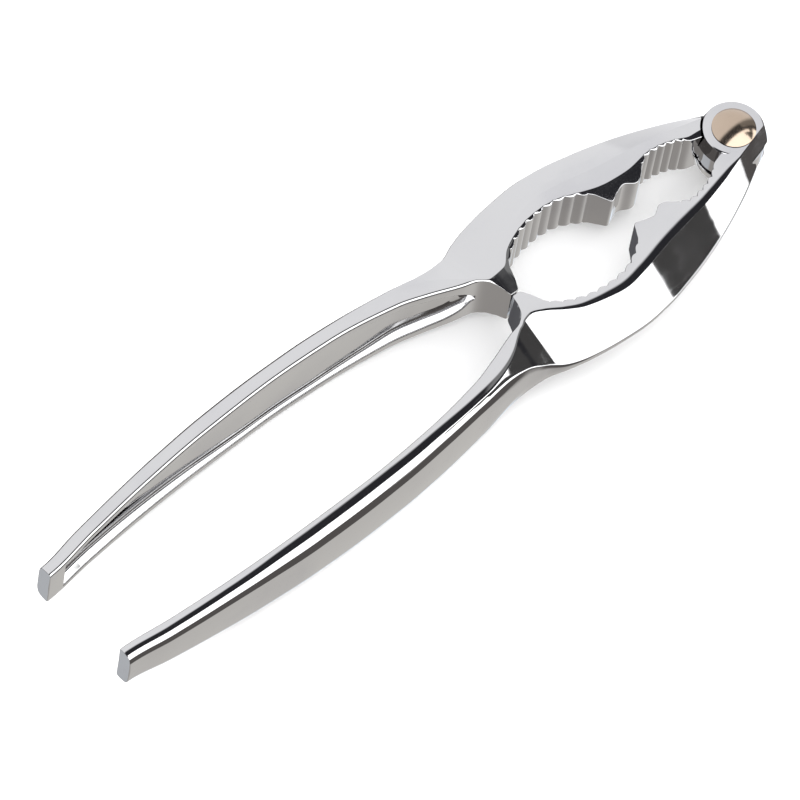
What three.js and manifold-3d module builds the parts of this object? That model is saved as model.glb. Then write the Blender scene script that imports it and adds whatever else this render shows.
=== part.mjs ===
// Lever nutcracker: two cast arms, mirror images of each other, joined by one rivet.
// Millimetres, +Z up. It lies flat and closed, its length along X with the hinge at +X,
// and the origin is at the bottom centre of its box.
import * as THREE from 'three';
import { mergeVertices } from 'three/addons/utils/BufferGeometryUtils.js';
import Module from 'manifold-3d';

const wasm = await Module();
wasm.setup();

// Driving dimensions. "Reach" is the distance from the rivet axis towards the handle tips.
const LENGTH = 155;
const EAR_RADIUS = 5.5;          // the round end of the fork, at its top face
const EAR_SPREAD = 0.7;          // how far the ear's side leans out towards the slot
const TIP_REACH = LENGTH - EAR_RADIUS - EAR_SPREAD;
const HINGE_X = LENGTH / 2 - EAR_RADIUS - EAR_SPREAD;
const JAW_HALF_HEIGHT = 5;       // half the thickness of the jaws and the hinge
const HANDLE_HALF_HEIGHT = 7.75; // half the thickness of a handle at its fattest
const MID_HEIGHT = HANDLE_HALF_HEIGHT; // the handles rest on the table at their fattest

const TONGUE_HALF = 1.8;         // half the thickness of the tongue between the ears
const TONGUE_RADIUS = 5.9;
const SIDE_PLAY = 0.3;           // clearance between parts that slide on each other
const SLOT_HALF = TONGUE_HALF + SIDE_PLAY;
const EAR_GAP = 0.4;             // ring gap between an ear and the tongue arm's shoulder

const RIVET_RADIUS = 2.2;
const RIVET_HEAD_RADIUS = 3.8;
const RIVET_HEAD_HEIGHT = 1.3;
const RIVET_TAIL_RADIUS = 3.4;
const RIVET_TAIL_HEIGHT = 0.9;

const CHANNEL_DEPTH = 1.4;       // hollow along the inner face of each handle
const CHANNEL_DRAFT = 0.8;       // how much lower its back wall is than its mouth
const CHANNEL_START = 55.4;      // reach of its pointed end
const CHANNEL_END = 145;         // reach of its square end

const TOOTH_DEPTH = 0.45;
const SAMPLES_PER_TOOTH = 4;
const LARGE_TEETH = { from: 48.2, to: 28.4, count: 10 };
const SMALL_TEETH = { from: 17.2, to: 8.2, count: 6 };

const EDGE_ROLL = 0.3;           // small bevel along a handle's inner edges
const HANDLE_BEVEL = 1;          // slope of that bevel
const JAW_BEVEL = 0.4;           // slope of the bevel that thins the jaws towards the nut
const BEVEL_CHANGE = [53, 58];   // reaches between which one slope turns into the other
const HANDLE_BULGE = 0.3;        // how far the outer wall swells between its two creases
const JAW_BULGE = 0.05;
const BULGE_CHANGE = [46, 60];

const NECK_REACH = 60;           // where the handle meets the neck
const STOP_REACH = 54;           // where the neck meets the stop pad
const HANDLE_STEP = 4.5;         // distance between cross-sections in each stretch of an arm
const NECK_STEP = 1.5;
const STOP_STEP = 0.45;
const CUSP_STEP = 0.8;
const HINGE_STEP = 1.4;
const CUT_MARGIN = 1;            // how far a cutting disc runs past the face it cuts

// Outlines of one arm, as [reach, value] points that a smooth curve passes through.
// Widths are measured outwards from the middle of the closed tool.
const innerWall = smoothCurve([
  [-7, 0], [0, 0.6], [4, 1.9], [5.8, 2.4], [7.4, 2.9], [8.9, 4.1], [10.5, 4.8], [12.7, 5.4], [14.9, 5.7],
  [16.2, 5.4], [17.4, 4.6], [19.3, 3], [20.2, 2.8], [22.5, 3.9], [24.4, 3.4], [25.9, 2.8], [27, 4.2],
  [28, 5.7], [29.6, 6.9], [31.7, 8], [33.8, 8.7], [36.8, 9], [39.5, 8.8], [42, 8.4], [44.5, 7.5],
  [46.8, 6.2], [48.6, 4.6], [49.6, 1.8], [50.6, 0.15], [52, 0.15], [52.7, 2], [53.8, 4], [55.6, 5.3],
  [58, 5.9], [64, 7.9], [70, 9.6], [84, 11.5], [98, 12.1], [112, 11.9], [125, 11.2], [138, 10], [149, 8.7],
]);
const topFaceEdge = smoothCurve([
  [-7, 0.5], [5.1, 3.4], [7.1, 3.6], [8.9, 4.4], [10.6, 5.1], [12.5, 5.6], [14.9, 5.9], [20, 5.4],
  [24, 5.7], [26.1, 6.1], [30, 7.5], [33.8, 8.9], [37.2, 9.3], [39.7, 9.2], [42.4, 8.7], [45.1, 7.8],
  [47.1, 6.8], [49.9, 4.6], [53.2, 4.3], [55.6, 5.6], [58, 6.2],
]);
const stripEdge = smoothCurve([
  [-7, 1], [0, 5], [3, 5.2], [8, 5.5], [14, 6.6], [20, 7.4], [25, 8.2], [31, 9.4], [36, 10], [40, 9.6],
  [44, 8.8], [47, 7.6], [50, 5.9], [52, 5.2], [55, 6.4], [58, 7.7], [64, 9.5], [70, 11.1], [84, 13],
  [98, 13.6], [112, 13.3], [125, 12.6], [138, 11.4], [149, 10],
]);
const ridgeWidth = smoothCurve([
  [-7, 1.5], [-4, 4.4], [0, 6.6], [4, 8.7], [8, 10.5], [12, 12.1], [16, 13.5], [20, 14.7], [24, 15.7],
  [30, 16.9], [36, 17.4], [42, 17], [48, 16.1], [52, 15], [56, 13.3], [60, 12.6], [70, 13.7], [80, 14.8],
  [90, 15.5], [100, 15.7], [110, 15.5], [120, 14.8], [130, 13.8], [140, 12.6], [149, 11.3],
]);
const ridgeHeight = smoothCurve([
  [-7, 0.5], [40, 0.7], [46, 0.9], [52, 2.6], [56, 3.7], [60, 4.6], [70, 5.8], [80, 6.6], [90, 6.8],
  [100, 6.6], [110, 6.2], [120, 5.6], [130, 5], [140, 4.5], [149, 4.2],
]);
const halfHeight = smoothCurve([
  [-7, JAW_HALF_HEIGHT], [48, JAW_HALF_HEIGHT], [52, 5.2], [58, 5.9], [70, 7.1],
  [84, HANDLE_HALF_HEIGHT], [98, 7.65], [112, 7.2], [125, 6.4], [138, 5.4], [149, 4.7],
]);
const channelHalfHeight = smoothCurve([
  [55.4, 0.1], [57.5, 1.4], [60, 3], [62, 3.9], [70, 4.9], [84, 5.3], [98, 5.2], [112, 4.8],
  [125, 4.1], [138, 3.3], [145, 2.9],
]);

// A smooth curve through the points that never overshoots between them.
function smoothCurve(points) {
  const slopes = points.map((point, i) => {
    if (i === 0 || i === points.length - 1) return 0;
    const before = (point[1] - points[i - 1][1]) / (point[0] - points[i - 1][0]);
    const after = (points[i + 1][1] - point[1]) / (points[i + 1][0] - point[0]);
    return before * after > 0 ? 2 * before * after / (before + after) : 0;
  });
  return (reach) => {
    let i = 0;
    while (i < points.length - 2 && reach > points[i + 1][0]) i += 1;
    const span = points[i + 1][0] - points[i][0];
    const t = THREE.MathUtils.clamp((reach - points[i][0]) / span, 0, 1);
    const rise = points[i + 1][1] - points[i][1];
    const startTerm = slopes[i] * span * t * (1 - t) ** 2;
    const endTerm = slopes[i + 1] * span * t * t * (t - 1);
    return points[i][1] + rise * t * t * (3 - 2 * t) + startTerm + endTerm;
  };
}

function evenSteps(from, to, step) {
  const count = Math.ceil(Math.abs(to - from) / step);
  return Array.from({ length: count }, (_, k) => from + (to - from) * k / count);
}

// Stations along a serrated cavity, at even distances along its wall. Each has the tooth's
// height above the mean wall: round crests with sharp valleys between them.
function toothStations({ from, to, count }) {
  const pieces = 400;
  const reachAt = (k) => from + (to - from) * k / pieces;
  const lengths = [0];
  for (let k = 1; k <= pieces; k += 1) {
    const rise = innerWall(reachAt(k)) - innerWall(reachAt(k - 1));
    lengths.push(lengths[k - 1] + Math.hypot(reachAt(k) - reachAt(k - 1), rise));
  }
  const stations = [];
  const steps = count * SAMPLES_PER_TOOTH;
  let k = 0;
  for (let i = 0; i < steps; i += 1) {
    const target = lengths[pieces] * i / steps;
    while (lengths[k] < target) k += 1;
    const crest = Math.abs(Math.sin(Math.PI * i / SAMPLES_PER_TOOTH));
    stations.push({ reach: reachAt(k), tooth: TOOTH_DEPTH * (crest - 0.5) });
  }
  return stations;
}

// All stations of an arm, from the handle tip to the hinge.
function armStations() {
  const plain = (list) => list.map((reach) => ({ reach, tooth: 0 }));
  return [
    ...plain(evenSteps(TIP_REACH, NECK_REACH, HANDLE_STEP)),
    ...plain(evenSteps(NECK_REACH, STOP_REACH, NECK_STEP)),
    ...plain(evenSteps(STOP_REACH, LARGE_TEETH.from, STOP_STEP)),
    ...toothStations(LARGE_TEETH),
    ...plain(evenSteps(LARGE_TEETH.to, SMALL_TEETH.from, CUSP_STEP)),
    ...toothStations(SMALL_TEETH),
    ...plain(evenSteps(SMALL_TEETH.to, 0, HINGE_STEP)),
    ...plain([0]),
  ];
}

// A value that changes evenly from start to end while the reach crosses the given span.
function blend(reach, [low, high], start, end) {
  return THREE.MathUtils.mapLinear(THREE.MathUtils.clamp(reach, low, high), low, high, start, end);
}

// Cross-section of an arm as [width, height] points, upper half first, then mirrored downwards.
function armSection({ reach, tooth }) {
  const top = halfHeight(reach);
  const inner = innerWall(reach) - tooth;
  const inJaws = reach < CHANNEL_START;
  const edge = inJaws ? Math.max(topFaceEdge(reach), inner + EDGE_ROLL / 2) : inner + EDGE_ROLL;
  const bevel = blend(reach, BEVEL_CHANGE, JAW_BEVEL, HANDLE_BEVEL);
  const lip = top - Math.max(EDGE_ROLL / 2, (edge - inner) * bevel);
  const strip = Math.max(stripEdge(reach), edge + EDGE_ROLL);
  const ridge = Math.max(ridgeWidth(reach), strip + EDGE_ROLL);
  const bulge = blend(reach, BULGE_CHANGE, JAW_BULGE, HANDLE_BULGE);
  const upper = [[inner, lip], [edge, top], [strip, top], [ridge, ridgeHeight(reach)]];
  const lower = upper.map(([width, height]) => [width, -height]).reverse();
  return [...upper, [ridge + bulge, 0], ...lower];
}

// Solid through a row of sections, which have the same number of points and run clockwise.
// side is 1 for the arm at +Y and -1 for the arm at -Y.
function loft(rows, side) {
  const perRow = rows[0].points.length;
  const positions = [];
  rows.forEach(({ reach, points }) => {
    points.forEach(([width, height]) => positions.push(HINGE_X - reach, side * width, MID_HEIGHT + height));
  });
  const triangles = [];
  for (let r = 0; r < rows.length - 1; r += 1) {
    for (let p = 0; p < perRow; p += 1) {
      const a = r * perRow + p;
      const b = r * perRow + (p + 1) % perRow;
      triangles.push([a, a + perRow, b], [b, a + perRow, b + perRow]);
    }
  }
  const outline = (row) => row.points.map(([width, height]) => new THREE.Vector2(width, height));
  const cap = (index) => THREE.ShapeUtils.triangulateShape(outline(rows[index]), [])
    .map((corners) => corners.map((corner) => corner + index * perRow));
  const turn = (triangle) => triangle.slice().reverse();
  triangles.push(...cap(0).map(turn), ...cap(rows.length - 1));
  const geometry = new THREE.BufferGeometry();
  geometry.setAttribute('position', new THREE.Float32BufferAttribute(positions, 3));
  geometry.setIndex((side > 0 ? triangles : triangles.map(turn)).flat());
  return geometry;
}

function toSolid(geometry) {
  const bare = geometry.clone();
  bare.deleteAttribute('normal');
  bare.deleteAttribute('uv');
  const merged = mergeVertices(bare, 1e-4);
  return new wasm.Manifold(new wasm.Mesh({
    numProp: 3,
    vertProperties: new Float32Array(merged.attributes.position.array),
    triVerts: new Uint32Array(merged.index.array),
  }));
}

function toGeometry(solid) {
  const mesh = solid.getMesh();
  const geometry = new THREE.BufferGeometry();
  geometry.setAttribute('position', new THREE.BufferAttribute(new Float32Array(mesh.vertProperties), 3));
  geometry.setIndex(new THREE.BufferAttribute(new Uint32Array(mesh.triVerts), 1));
  geometry.computeVertexNormals();
  return geometry;
}

// Round solid on the hinge axis, with its profile as [radius, height above mid-thickness] points.
function turned(profile, segments = 40) {
  const geometry = new THREE.LatheGeometry(profile.map(([r, z]) => new THREE.Vector2(r, z)), segments);
  geometry.rotateX(Math.PI / 2);
  geometry.translate(HINGE_X, 0, MID_HEIGHT);
  return geometry;
}

function disc(radiusLow, radiusHigh, low, high) {
  return toSolid(turned([[0, low], [radiusLow, low], [radiusHigh, high], [0, high]]));
}

// The hollow along a handle's inner face: square at the tip, pointed at the neck.
function handleChannel(side) {
  const reaches = [
    ...evenSteps(CHANNEL_END, NECK_REACH, HANDLE_STEP),
    ...evenSteps(NECK_REACH, CHANNEL_START, NECK_STEP),
    CHANNEL_START,
  ];
  const pointHalfHeight = 0.05;
  const overshoot = 2;
  const rows = reaches.map((reach) => {
    const mouth = channelHalfHeight(reach);
    const back = Math.max(mouth - CHANNEL_DRAFT, pointHalfHeight);
    const lean = (mouth - back) / CHANNEL_DEPTH;
    const inner = innerWall(reach) - overshoot;
    const outer = innerWall(reach) + CHANNEL_DEPTH;
    const wide = mouth + lean * overshoot;
    return { reach, points: [[inner, wide], [outer, back], [outer, -back], [inner, -wide]] };
  });
  return toSolid(loft(rows, side));
}

function castArm(side) {
  const rows = armStations().map((station) => ({ reach: station.reach, points: armSection(station) }));
  return toSolid(loft(rows, side)).subtract(handleChannel(side));
}

function rivetHole() {
  const radius = RIVET_RADIUS + SIDE_PLAY;
  const half = JAW_HALF_HEIGHT + CUT_MARGIN;
  return disc(radius, radius, -half, half);
}

// The fork arm ends in two round ears, one above and one below the other arm's tongue.
function forkArm() {
  const slotRadius = TONGUE_RADIUS + SIDE_PLAY;
  const wide = EAR_RADIUS + EAR_SPREAD;
  const upperEar = disc(wide, EAR_RADIUS, SLOT_HALF, JAW_HALF_HEIGHT);
  const lowerEar = disc(EAR_RADIUS, wide, -JAW_HALF_HEIGHT, -SLOT_HALF);
  const slot = disc(slotRadius, slotRadius, -SLOT_HALF, SLOT_HALF);
  return castArm(-1).add(upperEar).add(lowerEar).subtract(slot).subtract(rivetHole());
}

// The tongue arm is cut away above and below its tongue, so that the ears can turn there.
function tongueArm() {
  const tongue = disc(TONGUE_RADIUS, TONGUE_RADIUS, -TONGUE_HALF, TONGUE_HALF);
  const pocketRadius = EAR_RADIUS + EAR_GAP;
  const pocketWide = pocketRadius + EAR_SPREAD;
  const cut = JAW_HALF_HEIGHT + CUT_MARGIN;
  const upperPocket = disc(pocketWide, pocketRadius, TONGUE_HALF, cut);
  const lowerPocket = disc(pocketRadius, pocketWide, -cut, -TONGUE_HALF);
  return castArm(1).add(tongue).subtract(upperPocket).subtract(lowerPocket).subtract(rivetHole());
}

// Dome of the given radius and height, as profile points from its rim to the axis.
function dome(radius, height, base, direction) {
  const steps = 6;
  const sphere = (radius * radius + height * height) / (2 * height);
  const rimAngle = Math.asin(radius / sphere);
  return Array.from({ length: steps + 1 }, (_, k) => {
    const angle = rimAngle * (1 - k / steps);
    const rise = sphere * Math.cos(angle) - (sphere - height);
    return [k === steps ? 0 : sphere * Math.sin(angle), base + direction * rise];
  });
}

function rivet() {
  const seat = JAW_HALF_HEIGHT + SIDE_PLAY / 2;
  const tail = dome(RIVET_TAIL_RADIUS, RIVET_TAIL_HEIGHT, -seat, -1).reverse();
  const head = dome(RIVET_HEAD_RADIUS, RIVET_HEAD_HEIGHT, seat, 1);
  return turned([...tail, [RIVET_RADIUS, -seat], [RIVET_RADIUS, seat], ...head], 32);
}

const chrome = () => new THREE.MeshStandardMaterial({ color: 0xd8d8da, roughness: 0.12, metalness: 1 });
const rivetSteel = new THREE.MeshStandardMaterial({ color: 0xcfc4b6, roughness: 0.1, metalness: 1 });

function named(name, geometry, material) {
  const mesh = new THREE.Mesh(geometry, material);
  mesh.name = name;
  return mesh;
}

const nutcracker = new THREE.Group();
nutcracker.name = 'nutcracker';
nutcracker.add(named('fork_arm', toGeometry(forkArm()), chrome()));
nutcracker.add(named('tongue_arm', toGeometry(tongueArm()), chrome()));
nutcracker.add(named('hinge_rivet', rivet(), rivetSteel));

export default nutcracker;
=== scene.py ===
import math

import bmesh
import bpy
import numpy as np
from mathutils import Matrix, Vector


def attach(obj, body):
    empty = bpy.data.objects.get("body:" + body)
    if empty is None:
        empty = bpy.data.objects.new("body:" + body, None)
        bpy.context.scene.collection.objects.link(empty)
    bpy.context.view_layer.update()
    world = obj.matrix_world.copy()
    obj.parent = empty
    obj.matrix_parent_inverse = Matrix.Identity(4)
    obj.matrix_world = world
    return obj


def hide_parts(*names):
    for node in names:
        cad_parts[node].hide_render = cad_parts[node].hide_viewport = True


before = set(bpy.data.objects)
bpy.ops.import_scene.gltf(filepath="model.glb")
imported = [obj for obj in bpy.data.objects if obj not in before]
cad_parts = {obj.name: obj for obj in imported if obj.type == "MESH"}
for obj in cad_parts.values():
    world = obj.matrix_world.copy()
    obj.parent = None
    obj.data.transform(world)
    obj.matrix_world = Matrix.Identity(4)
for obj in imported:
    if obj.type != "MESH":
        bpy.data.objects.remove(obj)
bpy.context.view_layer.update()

MM = 0.001

# ---------------------------------------------------------------- driving sizes, in millimetres
# "Reach" is the distance from the rivet axis towards the handle tips.
HINGE_X = 71.3
MID_HEIGHT = 7.75
TIP_REACH = 148.8
JAW_HALF_HEIGHT = 5.0
EAR_RADIUS = 5.5
EAR_SPREAD = 0.7
TONGUE_HALF = 1.8
TONGUE_RADIUS = 5.9
SIDE_PLAY = 0.3
SLOT_HALF = TONGUE_HALF + SIDE_PLAY
EAR_GAP = 0.2
RIVET_RADIUS = 2.2
RIVET_HEAD_RADIUS = 3.9
RIVET_HEAD_HEIGHT = 1.55
RIVET_TAIL_RADIUS = 3.4
RIVET_TAIL_HEIGHT = 0.9
SKIN = 0.03
CHANNEL_START = 55.4
CHANNEL_END = 145.0
TOOTH_DEPTH = 0.45
TOP_LIMIT = 7.74                      # keeps the arms' mirrored underside just clear of the floor
JAW_LIP_SLOPE = 0.26                  # fall per width of the lip along the jaws' inner edge
FORK_STRIP_LIMIT = (3.97, 0.257)      # fork arm's strip edge at the axis, and its growth per reach
WING_SHOULDER_FALL = 0.163            # fall per width of the shoulder between the strip and the wing
WALL_LEAN = 0.03                      # how far the handle's outer wall leans in, per height
FACET_OUTWARD = (0.213, -0.83, 0.515)  # way the planed facet beside the rivet faces
FACET_AWAY = (0.249, -0.969, 0.0)     # level way from the axis to the facet
FACET_DISTANCE = 3.85
SLOT_MOUTH_START = 0.3                # past the axis, where the visible slot's mouth starts to widen
SLOT_MOUTH_WIDENING = 0.35            # share of the slot's radius
LARGE_TEETH = (48.2, 28.4, 10)        # reach where the teeth start and end, and their number
SMALL_TEETH = (17.2, 8.2, 6)
SAMPLES_PER_TOOTH = 12


# ---------------------------------------------------------------- outlines of one arm
def smooth_curve(points):
    """A smooth curve through [reach, value] points that never overshoots between them."""
    xs = np.array([p[0] for p in points], float)
    ys = np.array([p[1] for p in points], float)
    steps = np.diff(ys) / np.diff(xs)
    slopes = np.zeros(len(xs))
    for i in range(1, len(xs) - 1):
        if steps[i - 1] * steps[i] > 0:
            slopes[i] = 2 * steps[i - 1] * steps[i] / (steps[i - 1] + steps[i])

    def value(reach):
        i = int(np.clip(np.searchsorted(xs, reach) - 1, 0, len(xs) - 2))
        span = xs[i + 1] - xs[i]
        t = min(max((reach - xs[i]) / span, 0.0), 1.0)
        start = slopes[i] * span * t * (1 - t) ** 2
        end = slopes[i + 1] * span * t * t * (t - 1)
        return ys[i] + (ys[i + 1] - ys[i]) * t * t * (3 - 2 * t) + start + end

    return value


inner_wall = smooth_curve([
    (-7, 0), (0, 0.6), (4, 1.9), (5.8, 2.4), (7.4, 2.9), (8.9, 4.1), (10.5, 4.8), (12.7, 5.4), (14.9, 5.7),
    (16.2, 5.4), (17.4, 4.6), (19.3, 3), (20.2, 2.8), (22.5, 3.9), (24.4, 3.4), (25.9, 2.8), (27, 4.2),
    (28, 5.7), (29.6, 6.9), (31.7, 8), (33.8, 8.7), (36.8, 9), (39.5, 8.8), (42, 8.4), (44.5, 7.5),
    (46.8, 6.2), (48.6, 4.6), (49.6, 1.8), (50.6, 0.15), (52, 0.15), (52.7, 2), (53.8, 4), (55.6, 5.3),
    (58, 5.9), (64, 7.9), (70, 9.6), (84, 11.5), (98, 12.1), (112, 11.9), (125, 11.2), (138, 10), (149, 8.7),
])
top_face_edge = smooth_curve([
    (-7, 0.5), (5.1, 3.4), (7.1, 3.6), (8.9, 4.4), (10.6, 5.1), (12.5, 5.6), (14.9, 5.9), (20, 5.4),
    (24, 5.7), (26.1, 6.1), (30, 7.5), (33.8, 8.9), (37.2, 9.3), (39.7, 9.2), (42.4, 8.7), (45.1, 7.8),
    (47.1, 6.8), (49.9, 4.6), (53.2, 4.3), (55.6, 5.6), (58, 6.2),
])
strip_edge = smooth_curve([
    (-7, 1), (0, 4.4), (3, 4.75), (6, 5), (8, 5.3), (11, 5.85), (14, 6.4), (20, 7.15), (25, 8), (31, 9.3),
    (36, 10), (40, 9.6), (44, 8.8), (47, 7.4), (50, 5.6), (52.5, 4.7), (54.2, 5.1), (55.8, 5.9),
    (57.5, 6.9), (60, 8.4), (62.7, 9.6), (65.6, 10.5), (68.8, 11.2), (72, 11.9), (84, 13), (98, 13.6),
    (112, 13.3), (125, 12.6), (138, 11.4), (149, 10),
])
ridge_width = smooth_curve([
    (-7, 1.5), (-4, 4.4), (0, 6.6), (4, 8.7), (8, 10.5), (12, 12.1), (16, 13.5), (20, 14.7), (24, 15.7),
    (30, 16.9), (36, 17.4), (42, 17), (48, 16.1), (52, 15), (56, 13.3), (60, 12.6), (70, 13.7), (80, 14.8),
    (90, 15.5), (100, 15.7), (110, 15.5), (120, 14.8), (130, 13.8), (140, 12.6), (149, 11.3),
])
ridge_height = smooth_curve([
    (-7, 0.5), (40, 0.6), (46, 0.7), (50, 0.9), (53, 1.4), (56, 2.6), (60, 4.4), (70, 5.8), (80, 6.6),
    (90, 6.8), (100, 6.6), (110, 6.2), (120, 5.6), (130, 5), (140, 4.5), (149, 4.2),
])
half_height = smooth_curve([
    (-7, 5), (48, 5), (52, 5.2), (58, 5.9), (70, 7.1), (84, 7.75), (98, 7.65), (112, 7.2), (125, 6.4),
    (138, 5.4), (149, 4.7),
])
wing_roll = smooth_curve([
    (-4, 0.12), (2, 0.15), (5, 0.7), (8, 1.2), (14, 1.5), (20, 1.7), (34, 1.6), (44, 1.0), (52, 0.45),
    (60, 0.4),
])
channel_depth = smooth_curve([
    (55, 1.0), (59, 1.5), (66, 1.6), (76, 1.15), (88, 0.85), (98, 0.85), (105, 0.95), (112, 1.15),
    (125, 1.4), (138, 1.55), (144, 1.55), (144.9, 1.2),
])
channel_half_height = smooth_curve([
    (55.4, 0.6), (57.5, 2.4), (60, 3.6), (62, 4.1), (70, 5.1), (84, 6.0), (98, 5.9), (112, 5.4),
    (125, 4.5), (138, 3.75), (145, 3.4),
])


def blend(reach, low, high, start, end):
    """Goes evenly from start to end as reach goes from low to high."""
    t = min(max((reach - low) / (high - low), 0.0), 1.0)
    return start + (end - start) * t


def tooth_stations(start, end, count):
    """Even steps along a cavity's wall, each with the tooth's height above the mean wall."""
    fine = np.linspace(start, end, 1201)
    walls = np.array([inner_wall(r) for r in fine])
    lengths = np.concatenate([[0], np.cumsum(np.hypot(np.diff(fine), np.diff(walls)))])
    steps = count * SAMPLES_PER_TOOTH
    stations = []
    for i in range(steps):
        reach = float(np.interp(lengths[-1] * i / steps, lengths, fine))
        crest = abs(math.sin(math.pi * i / SAMPLES_PER_TOOTH))
        stations.append((reach, TOOTH_DEPTH * (crest - 0.5)))
    return stations


def arm_stations(last_reach):
    """All cross-sections of an arm from its tip to last_reach, as (reach, tooth height)."""
    def run(start, end, step):
        return [(float(r), 0.0) for r in np.arange(start, end, -step)]

    stations = run(TIP_REACH, CHANNEL_END + 0.1, 1.2)
    stations += [(CHANNEL_END + 0.1, 0.0), (CHANNEL_END - 0.1, 0.0)]
    stations += run(CHANNEL_END - 0.5, 72, 1.0) + run(72, 54, 0.25) + run(54, LARGE_TEETH[0], 0.15)
    stations += tooth_stations(*LARGE_TEETH)
    stations += run(LARGE_TEETH[1], SMALL_TEETH[0], 0.15)
    stations += tooth_stations(*SMALL_TEETH)
    stations += run(SMALL_TEETH[1], last_reach, 0.3) + [(last_reach, 0.0)]
    return stations


def rounded(corners, per_corner=6):
    """Points along a polyline whose corners, given as (width, height, radius), are rounded."""
    points = [corners[0][:2]]
    for before, corner, after in zip(corners, corners[1:], corners[2:]):
        c = np.array(corner[:2])
        ways = [np.array(other[:2]) - c for other in (before, after)]
        sizes = [max(float(np.hypot(*way)), 1e-9) for way in ways]
        start, end = (c + way / size * min(corner[2], 0.47 * size) for way, size in zip(ways, sizes))
        for t in np.linspace(0, 1, per_corner):
            points.append(tuple((1 - t) ** 2 * start + 2 * t * (1 - t) * c + t * t * end))
    points.append(corners[-1][:2])
    return points


def crown_curve():
    """The handle's rounded shoulder at full size, as (across, down) points, and its turn in degrees.

    The surface leaves the flat strip slowly, then turns faster until it is almost upright.
    """
    lengths = np.cumsum([0, 0.2, 1.25, 1.3, 0.25, 1.75])
    turns = [0, 4, 18, 60, 70, 82]
    steps = np.linspace(0, lengths[-1], 400)
    angles = np.radians(np.interp(steps, lengths, turns))
    span = steps[1] - steps[0]
    across = np.concatenate([[0], np.cumsum(np.cos(angles[:-1])) * span])
    down = np.concatenate([[0], np.cumsum(np.sin(angles[:-1])) * span])
    return across, down


CROWN_ACROSS, CROWN_DOWN = crown_curve()
crown_size = smooth_curve([
    (58, 1.15), (66, 0.9), (72, 0.88), (82, 0.98), (98, 1.05), (112, 1.0), (125, 0.78), (137, 0.68),
    (149, 0.62),
])


def turn_blend(first, second, share):
    """A curve between two others, found by mixing how they turn rather than where they lie."""
    steps = [np.diff(np.array(curve), axis=0) for curve in (first, second)]
    turns = [np.arctan2(step[:, 1], step[:, 0]) for step in steps]
    sizes = [np.hypot(*step.T) for step in steps]
    turn = turns[0] + (turns[1] - turns[0]) * share
    size = sizes[0] + (sizes[1] - sizes[0]) * share
    mixed = np.cumsum(np.stack([np.cos(turn) * size, np.sin(turn) * size], axis=1), axis=0)
    start = np.array(first[0]) + (np.array(second[0]) - np.array(first[0])) * share
    end = np.array(first[-1]) + (np.array(second[-1]) - np.array(first[-1])) * share
    stretch = (end - start) / mixed[-1]
    return [tuple(start)] + [tuple(start + point * stretch) for point in mixed]


def crown_profile(reach, top, middle, edge, count):
    """The shoulder and outer wall from the flat strip down to mid-thickness at width middle."""
    size = crown_size(reach)
    drop = CROWN_DOWN[-1] * size
    wall = middle - WALL_LEAN * max(top - drop, 0.0)
    start = max(wall - CROWN_ACROSS[-1] * size, edge)
    squeeze = (wall - start) / CROWN_ACROSS[-1]
    picks = np.linspace(0, len(CROWN_ACROSS) - 1, count - 3).astype(int)
    points = [(start + CROWN_ACROSS[k] * squeeze, top - CROWN_DOWN[k] * size) for k in picks]
    low = top - drop
    for share in (0.6, 0.3, 0.0):
        points.append((middle + (wall - middle) * share ** 2, low * share))
    return points


def arm_section(reach, tooth, side):
    """Cross-section of an arm, upper half from the inner wall's middle, then mirrored downwards."""
    top = min(half_height(reach), TOP_LIMIT)
    inner = inner_wall(reach) - tooth
    in_jaws = reach < CHANNEL_START
    edge = max(top_face_edge(reach), inner + 0.15) if in_jaws else inner + 0.3
    lip = top - max(0.15, (edge - inner) * blend(reach, 53, 58, JAW_LIP_SLOPE, 1))
    strip = max(strip_edge(reach), edge + 0.3)
    if side < 0 and reach < 6:
        strip = min(strip, FORK_STRIP_LIMIT[0] + FORK_STRIP_LIMIT[1] * reach)
    ridge = max(ridge_width(reach), strip + 0.3)
    crease = ridge_height(reach)
    bulge = blend(reach, 46, 60, 0.05, 0.3)
    if in_jaws or reach > CHANNEL_END:
        depth = 0.0
    else:
        depth = channel_depth(reach)
    mouth = min(channel_half_height(reach), lip * 0.8)
    back = max(mouth - 0.6 * depth, 0.05)
    hollow = depth + 0.05 * back if depth else 0.0
    inside = rounded([
        (inner + hollow, 0.0, 0),
        (inner + depth, back, 0.7),
        (inner, mouth, 0.3),
        (inner, lip, 0.12 if in_jaws else 0.35),
        (edge, top, 0.12 if in_jaws else 0.3),
        (strip, top, 0),
    ])
    roll = min(wing_roll(reach), 0.5 * (ridge - strip))
    fall = WING_SHOULDER_FALL * roll
    wing = [(strip + roll * t, top - fall * t * t) for t in np.linspace(0, 0.99, 18)]
    wing += rounded([
        (strip + roll, top - fall, 0),
        (ridge, crease, 0.2),
        (ridge + 0.75 * bulge, crease * 0.5, 3),
        (ridge + bulge, 0.0, 0),
    ], 18)
    crown = crown_profile(reach, top, ridge + bulge, edge + 0.1, len(wing))
    share = blend(reach, 57, 70, 0, 1)
    share = share * share * (3 - 2 * share)
    if share == 0:
        outside = wing
    elif share == 1:
        outside = crown
    else:
        outside = turn_blend(wing, crown, share)
    upper = inside[:-1] + outside
    lower = [(width, -height) for width, height in reversed(upper[1:-1])]
    return upper + lower


# ---------------------------------------------------------------- mesh helpers, in millimetres
def new_object(name, mesh):
    piece = bpy.data.objects.new(name, mesh)
    bpy.context.scene.collection.objects.link(piece)
    return piece


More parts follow.
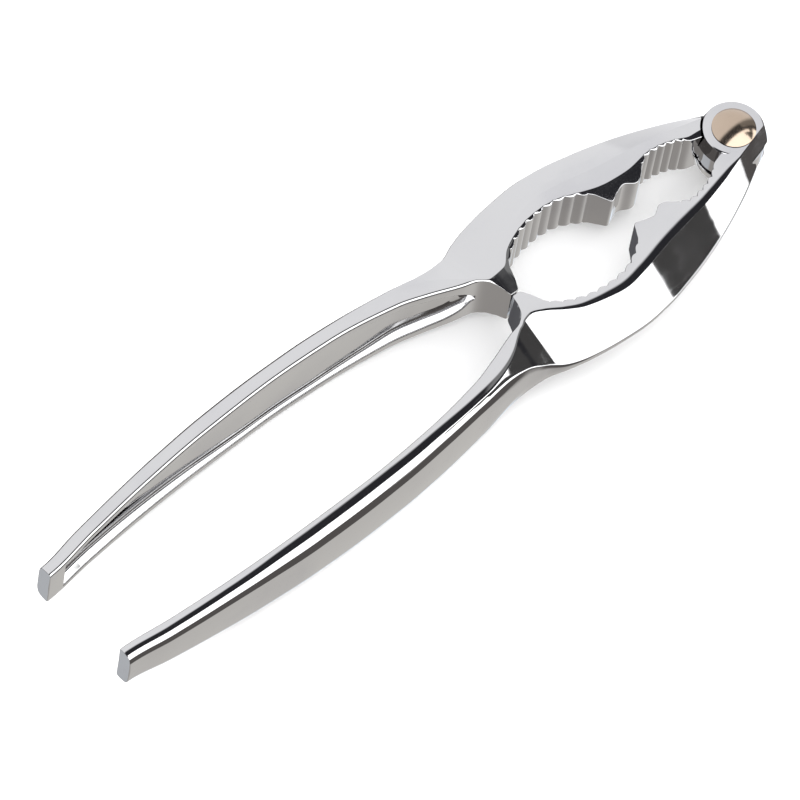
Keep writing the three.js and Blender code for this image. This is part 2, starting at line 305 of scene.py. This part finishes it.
def loft(name, rows, side):
    """Closed skin through rows of (reach, section). side is 1 for the arm at +Y, -1 at -Y."""
    mesh = bpy.data.meshes.new(name)
    count = len(rows[0][1])
    points = [
        (HINGE_X - reach, side * width, MID_HEIGHT + height)
        for reach, section in rows for width, height in section
    ]
    faces = []
    for r in range(len(rows) - 1):
        for p in range(count):
            q = (p + 1) % count
            faces.append((r * count + p, (r + 1) * count + p, (r + 1) * count + q, r * count + q))
    faces.append(tuple(range(count))[::-1])
    faces.append(tuple((len(rows) - 1) * count + p for p in range(count)))
    mesh.from_pydata(points, [], faces)
    grid = bmesh.new()
    grid.from_mesh(mesh)
    bmesh.ops.remove_doubles(grid, verts=grid.verts, dist=1e-4)
    bmesh.ops.recalc_face_normals(grid, faces=grid.faces)
    grid.to_mesh(mesh)
    grid.free()
    return new_object(name, mesh)


def turned(name, profile, segments=128):
    """Round solid on the hinge axis from [radius, height above mid-thickness] points, closed."""
    grid = bmesh.new()
    rings = []
    for radius, height in profile:
        z = MID_HEIGHT + height
        if radius < 1e-6:
            rings.append([grid.verts.new((HINGE_X, 0, z))])
            continue
        angles = [2 * math.pi * k / segments for k in range(segments)]
        rings.append([
            grid.verts.new((HINGE_X + radius * math.cos(a), radius * math.sin(a), z))
            for a in angles
        ])
    for low, high in zip(rings, rings[1:]):
        for k in range(segments):
            n = (k + 1) % segments
            if len(low) == 1:
                grid.faces.new((low[0], high[n], high[k]))
            elif len(high) == 1:
                grid.faces.new((low[k], low[n], high[0]))
            else:
                grid.faces.new((low[k], low[n], high[n], high[k]))
    bmesh.ops.recalc_face_normals(grid, faces=grid.faces)
    mesh = bpy.data.meshes.new(name)
    grid.to_mesh(mesh)
    grid.free()
    return new_object(name, mesh)


def cut(piece, tools):
    """Applies booleans in turn. Each tool is (operation, object) and is used up."""
    for operation, tool in tools:
        modifier = piece.modifiers.new("cut", "BOOLEAN")
        modifier.operation = operation
        modifier.solver = "EXACT"
        modifier.object = tool
        bpy.context.view_layer.update()
        evaluated = piece.evaluated_get(bpy.context.evaluated_depsgraph_get())
        mesh = bpy.data.meshes.new_from_object(evaluated)
        piece.modifiers.clear()
        piece.data = mesh
        bpy.data.objects.remove(tool)
        grid = bmesh.new()
        grid.from_mesh(mesh)
        bmesh.ops.remove_doubles(grid, verts=grid.verts, dist=5e-4)
        bmesh.ops.dissolve_degenerate(grid, edges=grid.edges, dist=5e-4)
        bmesh.ops.holes_fill(grid, edges=[edge for edge in grid.edges if edge.is_boundary], sides=12)
        grid.to_mesh(mesh)
        grid.free()


def soften(piece, angle=28):
    """Smooth shading with crisp lines only where two faces really meet at an angle."""
    grid = bmesh.new()
    grid.from_mesh(piece.data)
    bmesh.ops.remove_doubles(grid, verts=grid.verts, dist=2e-4)
    for face in grid.faces:
        face.smooth = True
    for edge in grid.edges:
        edge.smooth = len(edge.link_faces) == 2 and edge.calc_face_angle(0) < math.radians(angle)
    grid.to_mesh(piece.data)
    grid.free()
    piece.data.transform(Matrix.Scale(MM, 4))
    weighted = piece.modifiers.new("weighted", "WEIGHTED_NORMAL")
    weighted.mode = "FACE_AREA"
    weighted.weight = 100
    weighted.keep_sharp = True


def arc(center, radius, start, end, count=7):
    return [
        (center[0] + radius * math.cos(math.radians(a)), center[1] + radius * math.sin(math.radians(a)))
        for a in np.linspace(start, end, count)
    ]


# ---------------------------------------------------------------- the three pieces
def arm_loft(name, side, last_reach):
    rows = [(reach, arm_section(reach, tooth, side)) for reach, tooth in arm_stations(last_reach)]
    tip = rows[0][1]
    middle = np.mean(tip, axis=0)
    roll = 0.25
    start = []
    for t in (0.0, 0.35, 0.7):
        inset = roll * (1 - math.sin(t * math.pi / 2))
        points = []
        for point in tip:
            away = np.array(point) - middle
            points.append(tuple(middle + away * (1 - inset / max(np.hypot(*away), 1e-6))))
        start.append((TIP_REACH - roll * (1 - math.cos(t * math.pi / 2)), points))
    rows = start + [(rows[0][0] - roll, tip)] + rows[1:]
    return loft(name, rows, side)


def ear(name, up):
    roll = 0.35
    wide = EAR_RADIUS + EAR_SPREAD
    rim = arc((EAR_RADIUS - roll, JAW_HALF_HEIGHT - roll), roll, 0, 90)
    profile = [(0, SLOT_HALF), (wide - 0.1, SLOT_HALF), (wide, SLOT_HALF + 0.1)]
    profile += rim + [(0, JAW_HALF_HEIGHT)]
    return turned(name, [(r, up * h) for r, h in profile])


def plane_off(piece, up):
    """Planes off an ear's outer side, where the arm's sloping wing runs up to the rivet."""
    outward = Vector((FACET_OUTWARD[0], FACET_OUTWARD[1], FACET_OUTWARD[2] * up))
    foot = Vector((HINGE_X, 0.0, MID_HEIGHT + JAW_HALF_HEIGHT * up)) + FACET_DISTANCE * Vector(FACET_AWAY)
    grid = bmesh.new()
    grid.from_mesh(piece.data)
    parts = grid.verts[:] + grid.edges[:] + grid.faces[:]
    made = bmesh.ops.bisect_plane(
        grid, geom=parts, dist=1e-4, plane_co=foot, plane_no=outward, clear_outer=True,
    )
    rim = [part for part in made["geom_cut"] if isinstance(part, bmesh.types.BMEdge)]
    bmesh.ops.edgeloop_fill(grid, edges=rim)
    bmesh.ops.recalc_face_normals(grid, faces=grid.faces)
    grid.to_mesh(piece.data)
    grid.free()


def disc(name, low_radius, high_radius, low, high):
    return turned(name, [(0, low), (low_radius, low), (high_radius, high), (0, high)])


def fork_arm():
    slot_radius = TONGUE_RADIUS + SIDE_PLAY
    hole = RIVET_RADIUS + SIDE_PLAY
    piece = arm_loft("fork_arm_casting", -1, -3.2)
    ears = [ear("upper_ear", 1), ear("lower_ear", -1)]
    for each, up in zip(ears, (1, -1)):
        plane_off(each, up)
    slot = disc("slot", slot_radius + SKIN, slot_radius + SKIN, -SLOT_HALF - SKIN, SLOT_HALF + SKIN)
    # Wider on the outer side past the axis than in the CAD: a thin edge left there would meet the
    # end of the tongue arm in these finer meshes from 172 degrees on.
    for vertex in slot.data.vertices:
        away = vertex.co - Vector((HINGE_X, 0, vertex.co.z))
        if away.x > SLOT_MOUTH_START and away.y < 0:
            vertex.co += SLOT_MOUTH_WIDENING * away
    cut(piece, [
        ("UNION", ears[0]),
        ("UNION", ears[1]),
        ("DIFFERENCE", slot),
        ("DIFFERENCE", disc("hole", hole, hole, -9, 9)),
    ])
    return piece


def tongue_arm():
    hole = RIVET_RADIUS + SIDE_PLAY
    pocket = EAR_RADIUS + EAR_GAP
    wide = pocket + EAR_SPREAD
    piece = arm_loft("tongue_arm_casting", 1, 0.0)
    cut(piece, [
        ("UNION", disc("tongue", TONGUE_RADIUS, TONGUE_RADIUS, -TONGUE_HALF, TONGUE_HALF)),
        ("DIFFERENCE", disc("upper_pocket", wide, pocket, TONGUE_HALF + SKIN, 6)),
        ("DIFFERENCE", disc("lower_pocket", pocket, wide, -6, -TONGUE_HALF - SKIN)),
        ("DIFFERENCE", disc("hole", hole, hole, -9, 9)),
    ])
    return piece


def dome(radius, height, base, direction, steps=16):
    """Profile of a shallow dome from its rim at height base to its top, upwards or downwards."""
    sphere = (radius * radius + height * height) / (2 * height)
    rim = math.asin(radius / sphere)
    points = []
    for k in range(steps + 1):
        angle = rim * (1 - k / steps)
        rise = sphere * math.cos(angle) - (sphere - height)
        points.append((0.0 if k == steps else sphere * math.sin(angle), base + direction * rise))
    return points


def rivet():
    seat = JAW_HALF_HEIGHT + SIDE_PLAY / 2
    tail = dome(RIVET_TAIL_RADIUS, RIVET_TAIL_HEIGHT, -seat, -1)[::-1]
    head = dome(RIVET_HEAD_RADIUS, RIVET_HEAD_HEIGHT, seat, 1, 32)
    return turned("rivet_turned", tail + [(RIVET_RADIUS, -seat), (RIVET_RADIUS, seat)] + head)


# ---------------------------------------------------------------- materials
def polished_metal(name, color, worn, roughness, lay):
    """Mirror-polished metal with smudges, fine polishing lines, hairline scratches and a ripple.

    lay is the scale of the polishing lines along X, Y and Z: small along the way the wheel ran.
    """
    material = bpy.data.materials.new(name)
    material.use_nodes = True
    nodes = material.node_tree.nodes
    links = material.node_tree.links
    shader = nodes["Principled BSDF"]
    shader.inputs["Metallic"].default_value = 1
    place = nodes.new("ShaderNodeTexCoord").outputs["Object"]

    def noise(scale, detail, vector=place):
        node = nodes.new("ShaderNodeTexNoise")
        node.inputs["Scale"].default_value = scale
        node.inputs["Detail"].default_value = detail
        links.new(vector, node.inputs["Vector"])
        return node.outputs["Fac"]

    def spread(value, low, high, start, end):
        node = nodes.new("ShaderNodeMapRange")
        node.interpolation_type = "SMOOTHSTEP"
        for socket, number in (("From Min", low), ("From Max", high), ("To Min", start), ("To Max", end)):
            node.inputs[socket].default_value = number
        links.new(value, node.inputs["Value"])
        return node.outputs["Result"]

    def stretched(scale):
        node = nodes.new("ShaderNodeMapping")
        node.inputs["Scale"].default_value = scale
        links.new(place, node.inputs["Vector"])
        return node.outputs["Vector"]

    def total(first, second):
        node = nodes.new("ShaderNodeMath")
        node.operation = "ADD"
        links.new(first, node.inputs[0])
        links.new(second, node.inputs[1])
        return node.outputs["Value"]

    smudge = noise(45, 5)
    lines = noise(260, 3, stretched(lay))
    scratch = spread(noise(150, 2, stretched((0.12, 1.0, 1.0))), 0.66, 0.69, 0, 1)
    tone = nodes.new("ShaderNodeMix")
    tone.data_type = "RGBA"
    tone.inputs[6].default_value = (*color, 1)
    tone.inputs[7].default_value = (*worn, 1)
    links.new(spread(smudge, 0.45, 0.75, 0, 1), tone.inputs["Factor"])
    links.new(tone.outputs[2], shader.inputs["Base Color"])
    dull = spread(smudge, 0.4, 0.75, roughness, roughness + 0.05)
    rough = total(dull, spread(lines, 0.5, 0.8, 0, 0.04))
    links.new(total(rough, spread(scratch, 0, 1, 0, 0.05)), shader.inputs["Roughness"])
    below = None
    reliefs = ((noise(180, 2), 0.05, 0.0004), (lines, 0.012, 0.00006), (scratch, 0.03, 0.00003))
    for height, strength, distance in reliefs:
        bump = nodes.new("ShaderNodeBump")
        bump.inputs["Strength"].default_value = strength
        bump.inputs["Distance"].default_value = distance
        links.new(height, bump.inputs["Height"])
        if below:
            links.new(below, bump.inputs["Normal"])
        below = bump.outputs["Normal"]
    links.new(below, shader.inputs["Normal"])
    return material


chrome = polished_metal("polished_chrome", (0.61, 0.61, 0.615), (0.55, 0.55, 0.565), 0.025, (0.15, 4.0, 4.0))
rivet_metal = polished_metal("rivet_polish", (0.55, 0.45, 0.36), (0.46, 0.37, 0.29), 0.12, (3.0, 3.0, 3.0))

fork = fork_arm()
tongue = tongue_arm()
pin = rivet()
for piece, material, body, node, slot in (
    (fork, chrome, "fork_side", "fork_arm", "arm_chrome"),
    (tongue, chrome, "tongue_side", "tongue_arm", "arm_chrome"),
    (pin, rivet_metal, "fork_side", "hinge_rivet", "rivet_steel"),
):
    soften(piece)
    piece.data.materials.clear()
    piece.data.materials.append(material)
    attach(piece, body)
    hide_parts(node)

# ---------------------------------------------------------------- floor, light and camera
floor_mesh = bpy.data.meshes.new("floor")
FLOOR_HALF = 1.5
corners = [(x * FLOOR_HALF, y * FLOOR_HALF, 0) for x, y in ((-1, -1), (1, -1), (1, 1), (-1, 1))]
floor_mesh.from_pydata(corners, [], [(0, 1, 2, 3)])
floor = new_object("floor", floor_mesh)
paper = bpy.data.materials.new("paper")
paper.use_nodes = True
paper.node_tree.nodes["Principled BSDF"].inputs["Base Color"].default_value = (0.9, 0.9, 0.9, 1)
paper.node_tree.nodes["Principled BSDF"].inputs["Roughness"].default_value = 0.9
floor_mesh.materials.append(paper)

# The chrome doesn't mirror the floor: the table painted into the world stands in for it.
floor.visible_glossy = False

# The light isn't plain. The world is painted by direction, and its zones were placed and levelled so
# that the reflections land where the photograph has them, seen from the photograph's camera. From
# other sides they move or vanish, and the white zone burns out parts of the outline.
world = bpy.data.worlds.new("studio")
bpy.context.scene.world = world
world.use_nodes = True
sky = world.node_tree
way = sky.nodes.new("ShaderNodeTexCoord")
split = sky.nodes.new("ShaderNodeSeparateXYZ")
sky.links.new(way.outputs["Generated"], split.inputs["Vector"])


def math_node(operation, first, second):
    node = sky.nodes.new("ShaderNodeMath")
    node.operation = operation
    for socket, value in zip(node.inputs, (first, second)):
        if isinstance(value, (int, float)):
            socket.default_value = value
        else:
            sky.links.new(value, socket)
    return node.outputs["Value"]


def lean(x, y, z):
    """How far a direction leans towards (x, y, z)."""
    node = sky.nodes.new("ShaderNodeVectorMath")
    node.operation = "DOT_PRODUCT"
    sky.links.new(way.outputs["Generated"], node.inputs[0])
    node.inputs[1].default_value = (x, y, z)
    return node.outputs["Value"]


def fade(value, low, high):
    """A soft edge: 0 below low and 1 above high."""
    node = sky.nodes.new("ShaderNodeMapRange")
    node.interpolation_type = "SMOOTHSTEP"
    node.inputs["From Min"].default_value = low
    node.inputs["From Max"].default_value = high
    sky.links.new(value, node.inputs["Value"])
    return node.outputs["Result"]


def paint(base, color, *masks):
    """Lays a colour over base where every mask is 1."""
    mask = masks[0]
    for other in masks[1:]:
        mask = math_node("MULTIPLY", mask, other)
    node = sky.nodes.new("ShaderNodeMix")
    node.data_type = "RGBA"
    sky.links.new(mask, node.inputs["Factor"])
    for socket, value in ((node.inputs[6], base), (node.inputs[7], color)):
        if isinstance(value, tuple):
            socket.default_value = (*value, 1)
        else:
            sky.links.new(value, socket)
    return node.outputs[2]


up_way = split.outputs["Z"]
down_way = math_node("MULTIPLY", up_way, -1)
left_way = split.outputs["Y"]
right_way = math_node("MULTIPLY", left_way, -1)
hinge_way = split.outputs["X"]
tip_way = math_node("MULTIPLY", hinge_way, -1)

# Overhead: a dark gap, a pale zone on the +Y side and a white one on the -Y side.
look = paint((0.03, 0.03, 0.035), (0.28, 0.28, 0.28),
             fade(hinge_way, 0.54, 0.6), fade(left_way, -0.14, -0.1))
look = paint(look, (1.13, 1.13, 1.15), fade(left_way, 0.1, 0.28))
look = paint(look, (2.6, 2.6, 2.6), fade(right_way, 0.27, 0.3))

# Three dark cards with nearly hard edges, which make the jaws' and the neck's dark patches.
card = (0.075, 0.073, 0.072)
look = paint(look, card,
             fade(hinge_way, 0.77, 0.79), fade(up_way, 0.29, 0.31), fade(right_way, 0.2, 0.22))
look = paint(look, card,
             fade(lean(1, 0.2, 0), 0.462, 0.474), fade(up_way, 0.28, 0.3), fade(right_way, 0.4, 0.41))
look = paint(look, card,
             fade(hinge_way, 0.49, 0.5), fade(up_way, 0.64, 0.65), fade(right_way, 0.4, 0.41))

# Below the horizon: the table in the steep directions, and its rim in the shallow ones.
table = paint((0.42, 0.4, 0.38), (0.7, 0.68, 0.65), fade(hinge_way, -0.35, 0.3))
table = paint(table, (0.9, 0.98, 1.08), fade(hinge_way, 0.2, 0.4), fade(left_way, -0.1, 0.15))
table = paint(table, (0.12, 0.12, 0.13), fade(left_way, 0.3, 0.4))
table = paint(table, (0.62, 0.64, 0.67), fade(tip_way, 0.25, 0.32), fade(left_way, 0.12, 0.2))
rim = paint((0.13, 0.12, 0.115), (1.0, 1.0, 1.02),
            fade(hinge_way, 0.42, 0.5), fade(left_way, 0.2, 0.3))
rim = paint(rim, (0.5, 0.49, 0.48), fade(hinge_way, 0.4, 0.42), fade(right_way, 0.78, 0.82))
table = paint(rim, table, fade(down_way, 0.73, 0.79))
look = paint(look, table, fade(down_way, 0.15, 0.22))

# Everything but the metal's reflections, so mainly the floor, is lit by one even level instead.
rays = sky.nodes.new("ShaderNodeLightPath")
look = paint((2.15, 2.15, 2.15), look, rays.outputs["Is Glossy Ray"])
sky.links.new(look, sky.nodes["Background"].inputs["Color"])

# The camera looks along the photograph's line of sight: 60 degrees down, 52 degrees off +Y.
ELEVATION = math.radians(60)
TURN = 0.904616669
ROLL = 0.192538489
DISTANCE = 1.5
AIM = (-7.5, -1.55, 7.75)
LENS = 398.97
forward = Vector((
    math.sin(TURN) * math.cos(ELEVATION),
    math.cos(TURN) * math.cos(ELEVATION),
    -math.sin(ELEVATION),
))
level = Vector((math.cos(TURN), -math.sin(TURN), 0))
upright = level.cross(forward)
right = math.cos(ROLL) * level + math.sin(ROLL) * upright
up = right.cross(forward)
target = Vector(AIM) * MM
camera_data = bpy.data.cameras.new("camera")
camera_data.sensor_width = 36
camera_data.lens = LENS
camera_data.clip_end = 10
camera = bpy.data.objects.new("camera", camera_data)
bpy.context.scene.collection.objects.link(camera)
axes = Matrix((right, up, -forward)).transposed()
camera.matrix_world = Matrix.Translation(target - forward * DISTANCE) @ axes.to_4x4()
bpy.context.scene.camera = camera
bpy.context.scene.view_settings.view_transform = "Standard"
